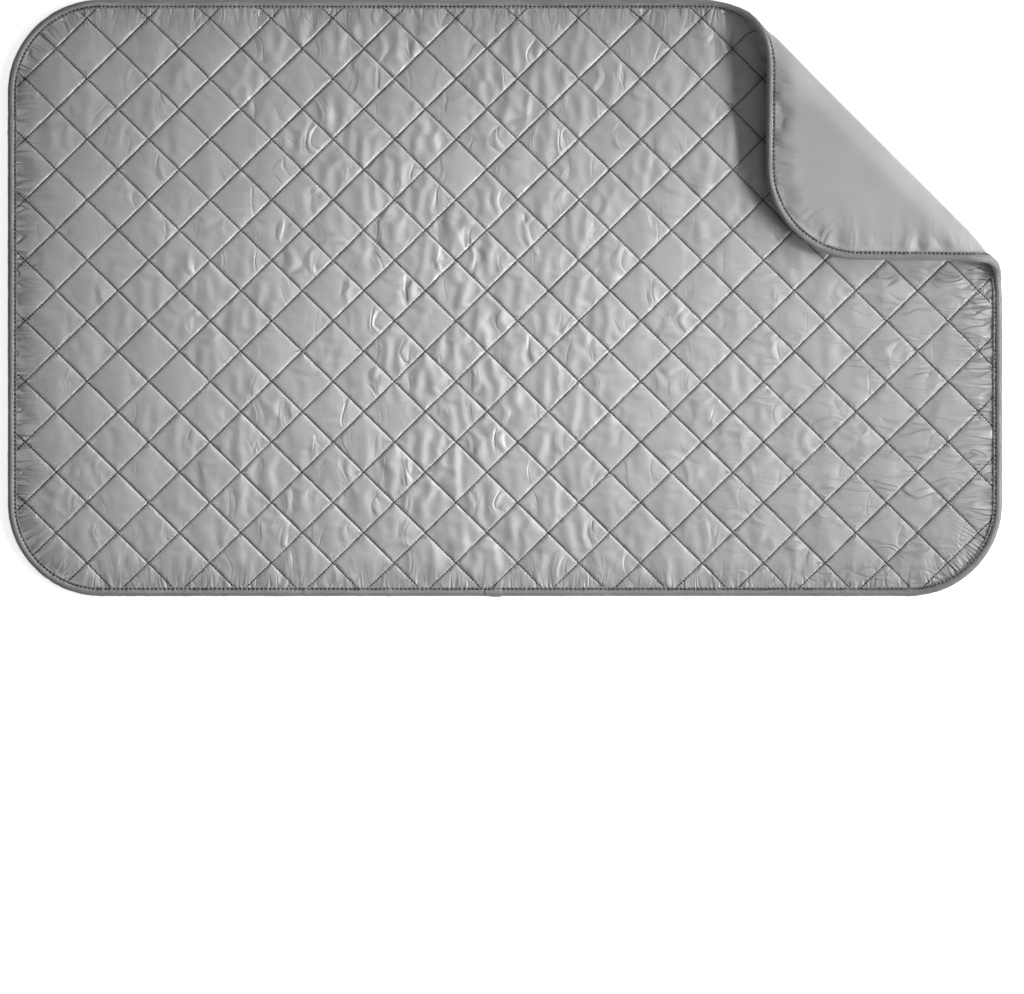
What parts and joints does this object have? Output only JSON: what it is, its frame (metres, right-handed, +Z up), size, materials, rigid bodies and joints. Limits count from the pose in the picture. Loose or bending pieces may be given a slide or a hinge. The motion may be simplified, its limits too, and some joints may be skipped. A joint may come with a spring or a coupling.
{
  "type": "ironing pad",
  "caption": "Flat rectangular quilted ironing pad with rounded corners, a silver heat-reflecting top, a plain cloth underside and a bound edge, one corner turned back.",
  "frame": {"origin": "under the middle of the pad, on the flat surface that it lies on", "axes": "+X along the pad's length, +Y across its width towards the edge with the turned corner, +Z up"},
  "size_m": [0.825, 0.495, 0.0349],
  "materials": {
    "silver_cover": "woven cotton with a satin silver heat-reflecting coating",
    "wadding": "lofted polyester wadding, matt",
    "scrim": "thin non-woven scrim, matt",
    "felt": "needled cotton felt, matt",
    "backing": "plain woven polyester, slight sheen",
    "binding_tape": "woven polyester binding tape, matt",
    "sewing_thread": "spun polyester sewing thread, matt"
  },
  "bodies": {
    "root": {"backing_cloth": "backing", "heat_felt": "felt", "quilt_scrim": "scrim", "quilt_wadding": "wadding", "quilted_cover": "silver_cover", "edge_binding": "binding_tape", "binding_seam_bobbin_thread": "sewing_thread", "binding_seam_needle_thread": "sewing_thread", "binding_end_tack_left": "sewing_thread", "binding_end_tack_right": "sewing_thread"}
  },
  "joints": []
}
